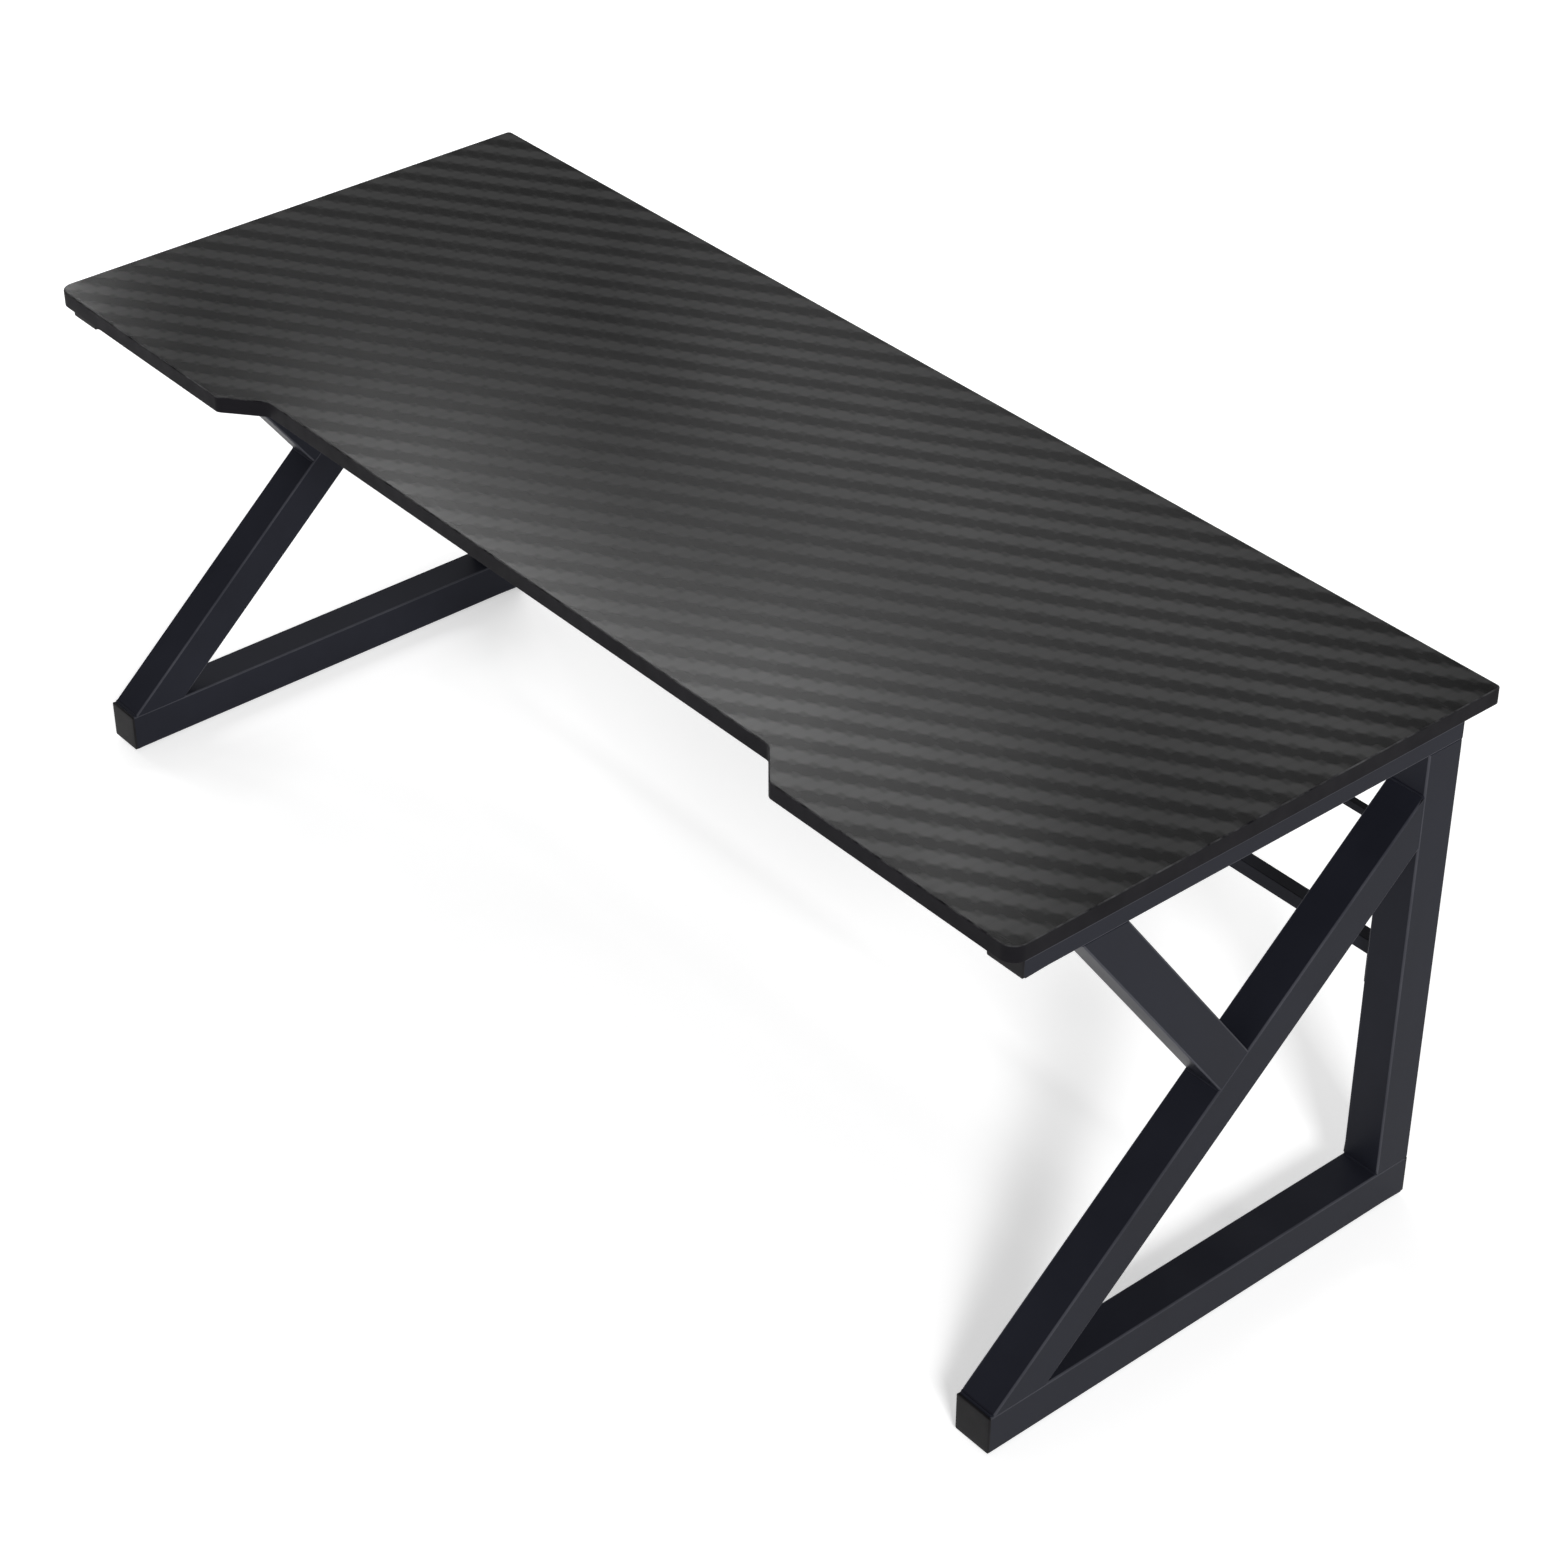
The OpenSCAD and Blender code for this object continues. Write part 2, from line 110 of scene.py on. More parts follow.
class Graph:
    """A material's node tree, with short calls for the nodes that the looks below use."""

    def __init__(self, name):
        self.material = bpy.data.materials.new(name)
        self.material.use_nodes = True
        self.tree = self.material.node_tree
        self.tree.nodes.clear()
        self.shader = self.add("ShaderNodeBsdfPrincipled")
        output = self.add("ShaderNodeOutputMaterial")
        self.tree.links.new(self.shader.outputs[0], output.inputs["Surface"])
        self.place = self.add("ShaderNodeTexCoord").outputs["Object"]

    def add(self, kind, **settings):
        node = self.tree.nodes.new(kind)
        for name, value in settings.items():
            setattr(node, name, value)
        return node

    def put(self, socket, value):
        """Links a socket to another one, or sets it to a plain value."""
        if isinstance(value, bpy.types.NodeSocket):
            self.tree.links.new(value, socket)
        else:
            socket.default_value = value

    def math(self, operation, *values, clamp=False):
        node = self.add("ShaderNodeMath", operation=operation, use_clamp=clamp)
        for socket, value in zip(node.inputs, values):
            self.put(socket, value)
        return node.outputs[0]

    def scaled(self, x, y, z):
        """The place on the object, stretched along each axis."""
        node = self.add("ShaderNodeVectorMath", operation="MULTIPLY")
        self.put(node.inputs[0], self.place)
        node.inputs[1].default_value = (x, y, z)
        return node.outputs[0]

    def axes(self):
        node = self.add("ShaderNodeSeparateXYZ")
        self.put(node.inputs[0], self.place)
        return node.outputs["X"], node.outputs["Y"], node.outputs["Z"]

    def noise(self, scale, detail=2.0, roughness=0.5, vector=None):
        node = self.add("ShaderNodeTexNoise")
        self.put(node.inputs["Vector"], self.place if vector is None else vector)
        node.inputs["Scale"].default_value = scale
        node.inputs["Detail"].default_value = detail
        node.inputs["Roughness"].default_value = roughness
        return node.outputs["Fac"]

    def fit(self, value, low, high, new_low, new_high, smooth=False):
        """Maps low..high onto new_low..new_high, and holds it there."""
        node = self.add("ShaderNodeMapRange", clamp=True)
        if smooth:
            node.interpolation_type = "SMOOTHSTEP"
        ends = {"From Min": low, "From Max": high, "To Min": new_low, "To Max": new_high}
        for name, number in ends.items():
            node.inputs[name].default_value = number
        self.put(node.inputs["Value"], value)
        return node.outputs["Result"]

    def mix(self, factor, first, second):
        """A colour between two others."""
        node = self.add("ShaderNodeMix", data_type="RGBA")
        self.put(node.inputs["Factor"], factor)
        for number, colour in ((MIX_FIRST_COLOUR, first), (MIX_SECOND_COLOUR, second)):
            linked = isinstance(colour, bpy.types.NodeSocket)
            self.put(node.inputs[number], colour if linked else (*colour, 1))
        return node.outputs[MIX_COLOUR_RESULT]

    def blend(self, factor, first, second):
        """A number between two others."""
        node = self.add("ShaderNodeMix", data_type="FLOAT")
        for name, value in (("Factor", factor), ("A", first), ("B", second)):
            self.put(node.inputs[name], value)
        return node.outputs[0]

    def strayed(self, value, share):
        """How far a value strays from 0.5, times a share."""
        return self.math("MULTIPLY", self.math("SUBTRACT", value, 0.5), share)

    def bump(self, height, strength, distance):
        node = self.add("ShaderNodeBump")
        self.put(node.inputs["Height"], height)
        node.inputs["Strength"].default_value = strength
        node.inputs["Distance"].default_value = distance
        self.put(self.shader.inputs["Normal"], node.outputs["Normal"])

    def set(self, **values):
        """Sets the shader's sockets, named with _ for a space."""
        for name, value in values.items():
            self.put(self.shader.inputs[name.replace("_", " ")], value)
        return self.material


TOW_X = 20.5 * MM
TOW_Y = 13.7 * MM
TOWS_IN_TWILL = 4
CARBON_DARK = (0.0035, 0.0035, 0.0035)
CARBON_LIGHT = (0.039, 0.039, 0.039)


def soft_steps(g, value):
    """A staircase that follows value, with its risers softened."""
    step = g.math("FLOOR", value)
    inside = g.math("FRACT", value)
    return g.math("ADD", step, g.fit(inside, 0.1, 0.9, 0, 1, smooth=True)), inside


def carbon_laminate():
    """Satin laminate printed with a large twill, its bands running from front left to back right."""
    g = Graph("carbon_laminate")
    x, y, _ = g.axes()
    across, in_x = soft_steps(g, g.math("DIVIDE", x, TOW_X))
    along, in_y = soft_steps(g, g.math("DIVIDE", y, TOW_Y))
    phase = g.math("DIVIDE", g.math("SUBTRACT", across, along), TOWS_IN_TWILL)
    wave = g.math("SINE", g.math("MULTIPLY", phase, math.tau))
    over = g.fit(wave, -0.75, 0.75, 0, 1, smooth=True)
    # the round of each tow, and the fine threads along it
    crown_x = g.math("PINGPONG", g.math("MULTIPLY", in_x, 2), 1)
    crown_y = g.math("PINGPONG", g.math("MULTIPLY", in_y, 2), 1)
    threads_x = g.noise(1, 2, 0.6, g.scaled(1400, 45, 1))
    threads_y = g.noise(1, 2, 0.6, g.scaled(45, 1400, 1))
    weave = g.blend(over, crown_y, crown_x)
    threads = g.blend(over, threads_y, threads_x)
    shade = g.math("ADD", over, g.strayed(threads, 0.5))
    shade = g.math("ADD", shade, g.strayed(weave, 0.16))
    shade = g.math("ADD", shade, g.strayed(g.noise(26, 3, 0.6), 0.5), clamp=True)
    colour = g.mix(shade, CARBON_DARK, CARBON_LIGHT)
    smear = g.fit(g.noise(5, 4), 0.3, 0.7, -0.025, 0.025)
    rough = g.math("ADD", g.fit(over, 0, 1, 0.24, 0.20), smear)
    height = g.math("ADD", weave, g.math("MULTIPLY", threads, 0.4))
    g.bump(height, 0.35, 0.05 * MM)
    return g.set(Base_Color=colour, Roughness=rough, Specular_IOR_Level=0.12)


BAND_DARK = (0.0060, 0.0056, 0.0070)
BAND_LIGHT = (0.0098, 0.0090, 0.0112)
BAND_RIM_HIGHLIGHT = (0.085, 0.085, 0.088)
RIM_HIGHLIGHT_STARTS = 1.1 * MM
RIM_HIGHLIGHT_IS_FULL = 0.2 * MM


def edge_band():
    """Extruded black plastic with a faint drawn grain, and a painted highlight, broken up by noise, along
    its upper rim.
    """
    g = Graph("edge_band")
    _, _, z = g.axes()
    blotch = g.noise(14, 4)
    colour = g.mix(g.fit(blotch, 0.3, 0.7, 0, 1), BAND_DARK, BAND_LIGHT)
    # a painted highlight: the upper rim is paler in patches, where light would catch the edge
    rim = g.fit(z, TOP - RIM_HIGHLIGHT_STARTS, TOP - RIM_HIGHLIGHT_IS_FULL, 0, 1, smooth=True)
    painted_highlight = g.fit(g.noise(38, 5, 0.65), 0.36, 0.66, 0, 1)
    colour = g.mix(g.math("MULTIPLY", rim, painted_highlight), colour, BAND_RIM_HIGHLIGHT)
    grain = g.noise(1, 3, 0.6, g.scaled(420, 420, 2600))
    rough = g.fit(g.noise(60, 3), 0.3, 0.7, 0.42, 0.52)
    g.bump(grain, 0.3, 0.04 * MM)
    return g.set(Base_Color=colour, Roughness=rough, Specular_IOR_Level=0.04)


# black coat colours, their blue tint painted coloured light
COAT_DARK = (0.0118, 0.0125, 0.0180)
COAT_LIGHT = (0.0158, 0.0168, 0.0240)
# a paler coat for the rounded edges of the tubes: a painted highlight
COAT_EDGE_HIGHLIGHT_DARK = (0.030, 0.031, 0.039)
COAT_EDGE_HIGHLIGHT_LIGHT = (0.066, 0.067, 0.079)


def powder_coat(name, dark, light):
    """Fine-textured black powder coat, with a blue tint that is painted coloured light."""
    g = Graph(name)
    cloud = g.noise(6, 4, 0.55)
    grain = g.noise(1500, 2, 0.6)
    colour = g.mix(g.fit(cloud, 0.3, 0.7, 0, 1), dark, light)
    rough = g.math("ADD", g.fit(cloud, 0.3, 0.7, 0.38, 0.46), g.fit(grain, 0.3, 0.7, -0.03, 0.03))
    g.bump(g.math("ADD", grain, g.math("MULTIPLY", g.noise(380, 2), 0.8)), 0.3, 0.06 * MM)
    return g.set(Base_Color=colour, Roughness=rough, Specular_IOR_Level=0.06)


def black_plastic():
    """Moulded polypropylene with an eroded texture."""
    g = Graph("black_plastic")
    blotch = g.noise(35, 3)
    grain = g.noise(2200, 2, 0.7)
    colour = g.mix(g.fit(blotch, 0.3, 0.7, 0, 1), (0.0070, 0.0066, 0.0074), (0.0110, 0.0104, 0.0116))
    g.bump(grain, 0.4, 0.05 * MM)
    rough = g.fit(grain, 0.3, 0.7, 0.48, 0.6)
    return g.set(Base_Color=colour, Roughness=rough, Specular_IOR_Level=0.1)


def backing_laminate():
    """Plain dark paper laminate on the underside."""
    g = Graph("backing_laminate")
    fibre = g.noise(1, 4, 0.65, g.scaled(60, 520, 60))
    cloud = g.noise(9, 3)
    colour = g.mix(g.fit(fibre, 0.3, 0.7, 0, 1), (0.014, 0.014, 0.0155), (0.021, 0.021, 0.0225))
    colour = g.mix(g.fit(cloud, 0.3, 0.7, 0, 0.35), colour, (0.026, 0.026, 0.027))
    g.bump(fibre, 0.25, 0.05 * MM)
    rough = g.fit(fibre, 0.3, 0.7, 0.55, 0.68)
    return g.set(Base_Color=colour, Roughness=rough, Specular_IOR_Level=0.3)


def particleboard():
    """Pressed wood chips."""
    g = Graph("particleboard")
    chips = g.add("ShaderNodeTexVoronoi", feature="F1")
    g.put(chips.inputs["Vector"], g.scaled(1, 1, 2.5))
    chips.inputs["Scale"].default_value = 420
    tone = g.add("ShaderNodeSeparateXYZ")
    g.put(tone.inputs[0], chips.outputs["Color"])
    colour = g.mix(tone.outputs["X"], (0.30, 0.19, 0.10), (0.62, 0.46, 0.29))
    g.bump(chips.outputs["Distance"], 0.6, 0.3 * MM)
    return g.set(Base_Color=colour, Roughness=g.fit(tone.outputs["Y"], 0, 1, 0.75, 0.9))


def plated_steel(name, dark, light, smoothest, roughest):
    """Plated steel, faintly cloudy and finely scratched."""
    g = Graph(name)
    cloud = g.noise(160, 3)
    scratch = g.noise(1, 3, 0.6, g.scaled(500, 3500, 3500))
    colour = g.mix(g.fit(cloud, 0.3, 0.7, 0, 1), dark, light)
    g.bump(scratch, 0.2, 0.02 * MM)
    rough = g.fit(cloud, 0.3, 0.7, smoothest, roughest)
    return g.set(Base_Color=colour, Metallic=1.0, Roughness=rough)


MATERIALS = {
    "carbon_laminate": carbon_laminate(),
    "edge_band": edge_band(),
    "powder_coat": powder_coat("powder_coat", COAT_DARK, COAT_LIGHT),
    "powder_coat_edge_highlight": powder_coat("powder_coat_edge_highlight", COAT_EDGE_HIGHLIGHT_DARK, COAT_EDGE_HIGHLIGHT_LIGHT),
    "black_plastic": black_plastic(),
    "backing_laminate": backing_laminate(),
    "particleboard": particleboard(),
    "black_zinc": plated_steel("black_zinc", (0.045, 0.045, 0.05), (0.085, 0.085, 0.09), 0.3, 0.42),
    "zinc_steel": plated_steel("zinc_steel", (0.50, 0.51, 0.53), (0.66, 0.66, 0.66), 0.24, 0.36),
}


def paint_cad_nodes():
    """Gives each CAD node the material of its slot in the record."""
    for part in frame["record"]["subparts"]:
        mesh = NODES[part["node"]].data
        mesh.materials.clear()
        mesh.materials.append(MATERIALS[part["material_slot"]])


paint_cad_nodes()


# ---------------------------------------------------------------- rounded edges on the CAD solids

ROUND_STEPS = 3
TUBE_ROUND = 2.2 * MM
PLATE_ROUND = 0.5 * MM
BAND_ROUND = 1.2 * MM
BAR_ROUNDS = {
    "lower_stretcher": 1.6 * MM,
    "upper_stretcher": 0.6 * MM,
    "front_beam": 1.8 * MM,
    "rear_beam": 1.8 * MM,
}
PLATES = ("lower_plate", "upper_plate", "front_beam_plate", "rear_beam_plate")
LONG_EDGE = 120 * MM
STRAIGHT = 0.999
X, Y, Z = 0, 1, 2


def add_rounding(node, width, wanted, painted_highlight=False):
    """Rounds those edges of a CAD node that wanted(a, b) picks by their two ends.

    Only modifiers and edge marks are added. Where asked, the roundings get a paler coat: a painted
    highlight along the edges.
    The triangles of one CAD face share their edges, so an edge with one user is on a face's outline.
    """
    obj = NODES[node]
    mesh = obj.data
    weight = mesh.attributes.new("bevel_weight_edge", "FLOAT", "EDGE")
    sharp = mesh.attributes.get("sharp_edge")
    sharp = sharp or mesh.attributes.new("sharp_edge", "BOOLEAN", "EDGE")
    users = [0] * len(mesh.edges)
    for polygon in mesh.polygons:
        polygon.use_smooth = True
        for loop in polygon.loop_indices:
            users[mesh.loops[loop].edge_index] += 1
    for edge in mesh.edges:
        if users[edge.index] != 1:
            continue
        a, b = (mesh.vertices[i].co for i in edge.vertices)
        picked = wanted(a, b)
        weight.data[edge.index].value = 1.0 if picked else 0.0
        sharp.data[edge.index].value = not picked
    weld = obj.modifiers.new("weld", "WELD")
    weld.merge_threshold = 0.5 * SAME_PLACE
    bevel = obj.modifiers.new("round", "BEVEL")
    bevel.limit_method = "WEIGHT"
    bevel.width = width
    bevel.segments = ROUND_STEPS
    bevel.use_clamp_overlap = False
    bevel.face_strength_mode = "FSTR_ALL"
    # the roundings take the paler coat, a painted highlight along the edges
    if painted_highlight:
        mesh.materials.append(MATERIALS["powder_coat_edge_highlight"])
        bevel.material = len(mesh.materials) - 1
    normals = obj.modifiers.new("normals", "WEIGHTED_NORMAL")
    normals.keep_sharp = True
    normals.use_face_influence = True


def on_box_edges(node):
    """Picks the edges that lie where two outer planes of the node's box meet."""
    low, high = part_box(node)

    def wanted(a, b):
        planes = 0
        for i in range(3):
            for limit in (low[i], high[i]):
                planes += abs(a[i] - limit) < SAME_PLACE and abs(b[i] - limit) < SAME_PLACE
        return planes >= 2

    return wanted


def along_axis(node, axis):
    """Picks the outer long edges of a straight tube along that axis."""
    on_edges = on_box_edges(node)

    def wanted(a, b):
        return on_edges(a, b) and abs((b - a).normalized()[axis]) > STRAIGHT

    return wanted


def along_brace(node):
    """Picks the four outer long edges of a sloping brace."""
    faces = [corner.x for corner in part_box(node)]

    def wanted(a, b):
        outer = any(abs(a.x - x) < SAME_PLACE and abs(b.x - x) < SAME_PLACE for x in faces)
        return outer and (b - a).length > LONG_EDGE

    return wanted


def round_the_frame():
    """Rounds the tubes and bars along their length, and the end plates all round."""
    for side in SIDES:
        post = f"{side}_post"
        add_rounding(post, TUBE_ROUND, along_axis(post, Z), painted_highlight=True)
        for tube in (f"{side}_base", f"{side}_rail"):
            add_rounding(tube, TUBE_ROUND, along_axis(tube, Y), painted_highlight=True)
        for brace in (f"{side}_long_brace", f"{side}_short_brace"):
            add_rounding(brace, TUBE_ROUND, along_brace(brace), painted_highlight=True)
        for name in PLATES:
            plate = f"{side}_{name}"
            add_rounding(plate, PLATE_ROUND, on_box_edges(plate))
    for bar, width in BAR_ROUNDS.items():
        add_rounding(bar, width, along_axis(bar, X))


def seen_from_above(point):
    """The place of a point in the plan, to a tenth of a millimetre."""
    return round(point.x, 4), round(point.y, 4)


def outer_rim(node, inner):
    """Picks the edges on the band's top and bottom rims, away from the sheet that it goes round."""
    low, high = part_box(node)
    inside = {seen_from_above(v.co) for v in NODES[inner].data.vertices}

    def wanted(a, b):
        level = abs(a.z - b.z) < SAME_PLACE
        on_rim = min(abs(a.z - low.z), abs(a.z - high.z)) < SAME_PLACE
        return level and on_rim and all(seen_from_above(p) not in inside for p in (a, b))

    return wanted


round_the_frame()
add_rounding("edge_band", BAND_ROUND, outer_rim("edge_band", "top_laminate"))


# ---------------------------------------------------------------- made pieces


def make_piece(name, body, slot, verts, faces, sharp_angle, replaces=()):
    """A mesh piece with its material, that rides on a body. It shades smooth below the sharp angle."""
    mesh = bpy.data.meshes.new(name)
    mesh.from_pydata([tuple(v) for v in verts], [], faces)
    bm = bmesh.new()
    bm.from_mesh(mesh)
    bmesh.ops.recalc_face_normals(bm, faces=bm.faces)
    bm.to_mesh(mesh)
    bm.free()
    for polygon in mesh.polygons:
        polygon.use_smooth = True
    mesh.set_sharp_from_angle(angle=math.radians(sharp_angle))
    mesh.materials.append(MATERIALS[slot])
    obj = bpy.data.objects.new(name, mesh)
    bpy.context.scene.collection.objects.link(obj)
    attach(obj, body)
    if replaces:
        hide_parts(*replaces)


class Parts:
    """Gathers the vertices and faces of several forms for one piece."""

    def __init__(self):
        self.verts = []
        self.faces = []

    def rings(self, rings, closed=False):
        """Joins each ring of points to the next. A closed row goes round, another gets its ends capped."""
        first = len(self.verts)
        n = len(rings[0])
        for ring in rings:
            self.verts.extend(ring)
        count = len(rings)
        for i in range(count if closed else count - 1):
            a, b = first + i * n, first + (i + 1) % count * n
            for j in range(n):
                k = (j + 1) % n
                self.faces.append((a + j, a + k, b + k, b + j))
        if not closed:
            self.faces.append(tuple(range(first + n - 1, first - 1, -1)))
            self.faces.append(tuple(range(first + (count - 1) * n, first + count * n)))


def hexagon_factor(angle):
    """How far a hexagon with corners at radius 1 reaches at an angle."""
    return math.cos(math.pi / 6) / math.cos(angle % (math.pi / 3) - math.pi / 6)


def circle(n):
    """The cosine and sine of n even steps round a turn."""
    return [(math.cos(math.tau * i / n), math.sin(math.tau * i / n)) for i in range(n)]


# weld seams: a bead runs round each joint of the leg frames and each end of a cross bar

BEAD_R = 1.9 * MM
BEAD_TURN = 3 * MM
BAR_BEAD_R = 1.4 * MM
BAR_BEAD_TURN = 2 * MM
BEAM_BEAD_DROP = 1.6 * MM  # keeps the beads of a beam clear of the desktop
BEAD_SIDES = 8
BEAD_STEP = 1.0 * MM
RIPPLE = 3.0 * MM
UNEVEN = 0.05
FLUSH = 0.2 * MM  # how far a leg's beads stay under its inner and outer face, as if ground flat
TURN_STEPS = 4


def rounded_loop(corners, radius):
    """A closed path through the corners, each turned with a small arc."""
    path = []
    count = len(corners)
    for i, b in enumerate(corners):
        a, c = corners[i - 1], corners[(i + 1) % count]
        start = b + (a - b).normalized() * radius
        end = b + (c - b).normalized() * radius
        for s in range(TURN_STEPS + 1):
            t = s / TURN_STEPS
            path.append(start * (1 - t) ** 2 + b * 2 * t * (1 - t) + end * t * t)
    return path


def resample(path, step):
    """Points at even steps along a closed path, each with its distance from the start."""
    lengths = [(path[(i + 1) % len(path)] - path[i]).length for i in range(len(path))]
    total = sum(lengths)
    count = max(12, round(total / step))
    points = []
    i, passed = 0, 0.0
    for k in range(count):
        at = total * k / count
        while passed + lengths[i] < at:
            passed += lengths[i]
            i += 1
        t = (at - passed) / lengths[i]
        points.append((path[i].lerp(path[(i + 1) % len(path)], t), at))
    return points, total


def add_bead(parts, corners, radius=BEAD_R, turn=BEAD_TURN):
    """A rippled weld bead along a closed loop of corners."""
    points, total = resample(rounded_loop(corners, turn), BEAD_STEP)
    normal = (corners[1] - corners[0]).cross(corners[2] - corners[1]).normalized()
    ripples = round(total / RIPPLE)
    rings = []
    for i, (point, at) in enumerate(points):
        ahead = points[(i + 1) % len(points)][0] - points[i - 1][0]
        aside = ahead.normalized().cross(normal)
        wave = math.sin(math.tau * ripples * at / total)
        # two slow waves make its thickness wander
        slow = math.sin(math.tau * 3 * at / total + 1.3) + 0.6 * math.sin(math.tau * 7 * at / total)
        r = radius * (1 + UNEVEN * wave + UNEVEN * slow)
        rings.append([point + normal * (c * r) + aside * (s * r) for c, s in circle(BEAD_SIDES)])
    parts.rings(rings, closed=True)


def cut_loop(node, point, facing):
    """The outer corners of a leg tube's end, on the plane through a point that faces that way.

    They are moved in from the leg's inner and outer face, so that the bead stays under these.
    """
    low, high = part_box(node)
    normal = Vector(facing).normalized()
    spots = []
    for v in NODES[node].data.vertices:
        on_plane = abs((v.co - Vector(point)).dot(normal)) < 4 * SAME_PLACE
        if on_plane and abs(v.co.x - low.x) < SAME_PLACE:
            spots.append(v.co.copy())
    along = normal.cross(Vector((1, 0, 0)))
    first = min(spots, key=lambda p: p.dot(along))
    last = max(spots, key=lambda p: p.dot(along))
    near, far = low.x + BEAD_R + FLUSH, high.x - BEAD_R - FLUSH
    return [Vector((x, p.y, p.z)) for x, p in ((near, first), (far, first), (far, last), (near, last))]


def brace_face(node):
    """A point on the upper face of the long brace, and that face's normal."""
    low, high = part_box(node)
    outline = [v.co for v in NODES[node].data.vertices if abs(v.co.x - low.x) < SAME_PLACE]
    toe = min(outline, key=lambda p: (round(p.y, 5), p.z))
    head = max(outline, key=lambda p: (round(p.y, 5), p.z))
    slope = (head - toe).normalized()
    return toe, Vector((0, -slope.z, slope.y))


def add_leg_welds(side):
    """Beads where the tubes of one leg frame meet."""
    parts = Parts()
    up, back = (0, 0, 1), (0, 1, 0)
    base_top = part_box(f"{side}_base")[1]
    rail_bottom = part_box(f"{side}_rail")[0]
    post_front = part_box(f"{side}_post")[0]
    long_brace, short_brace = f"{side}_long_brace", f"{side}_short_brace"
    add_bead(parts, cut_loop(f"{side}_post", base_top, up))
    add_bead(parts, cut_loop(f"{side}_post", rail_bottom, up))
    add_bead(parts, cut_loop(long_brace, base_top, up))
    add_bead(parts, cut_loop(long_brace, post_front, back))
    add_bead(parts, cut_loop(short_brace, rail_bottom, up))
    add_bead(parts, cut_loop(short_brace, *brace_face(long_brace)))
    make_piece(f"{side}_leg_welds", "desk", "powder_coat", parts.verts, parts.faces, 60)


def add_bar_welds():
    """Beads where the cross bars meet their end plates."""
    parts = Parts()
    for bar in BAR_ROUNDS:
        low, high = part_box(bar)
        for x in (low.x, high.x):
            top = high.z - (BEAM_BEAD_DROP if bar.endswith("beam") else 0)
            corners = ((low.y, low.z), (high.y, low.z), (high.y, top), (low.y, top))
            add_bead(parts, [Vector((x, y, z)) for y, z in corners], BAR_BEAD_R, BAR_BEAD_TURN)
    make_piece("cross_bar_welds", "desk", "powder_coat", parts.verts, parts.faces, 60)


for side_name in SIDES:
    add_leg_welds(side_name)
add_bar_welds()


# levelling feet: a moulded glide with a scalloped rim, and a threaded stud

THREAD_PITCH = 1.25 * MM
THREAD_DEEP = 0.65 * MM
THREAD_LEAD = 1.5 * MM
THREAD_SIDES = 24
THREAD_PER_TURN = 8
GLIDE_SIDES = 120
SCALLOPS = 20
SCALLOP_DEEP = 0.9 * MM
COLLAR = 6.9 * MM
# in millimetres: how far inside the rim, the height, and the share of the scallops' depth
GLIDE_RIM = (
    (2.6, 0.0, 0.0),
    (1.9, 0.0, 0.3),
    (0.5, 0.5, 0.8),
    (0.0, 1.1, 1.0),
    (0.0, 2.5, 1.0),
    (0.3, 3.0, 1.0),
    (1.1, 3.35, 0.6),
    (2.4, 3.3, 0.1),
)
# in millimetres: how far outside the collar, and the height
GLIDE_DISH = ((3.2, 3.1), (1.2, 3.2))


def add_stud(name, body, node):
    """The M8 stud with its thread cut as one continuous helix."""
    low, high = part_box(node)
    centre = (low + high) / 2
    radius = (high.x - low.x) / 2
    steps = round((high.z - low.z) / THREAD_PITCH * THREAD_PER_TURN)
    parts = Parts()
    rings = []
    for i in range(steps + 1):
        z = low.z + (high.z - low.z) * i / steps
        lead = min(1.0, (high.z - z) / THREAD_LEAD)
        ring = []
        for j, (c, s) in enumerate(circle(THREAD_SIDES)):
            turn = (z - low.z) / THREAD_PITCH - j / THREAD_SIDES
            depth = abs(2 * (turn - math.floor(turn)) - 1)
            # a V thread with its crest and its root cut flat
            r = radius - THREAD_DEEP * min(1.0, max(0.0, depth * 1.3 - 0.1))
            r -= THREAD_DEEP * (1 - lead)
            ring.append((centre.x + r * c, centre.y + r * s, z))
        rings.append(ring)
    parts.rings(rings)
    make_piece(name, body, "zinc_steel", parts.verts, parts.faces, 50, [node])


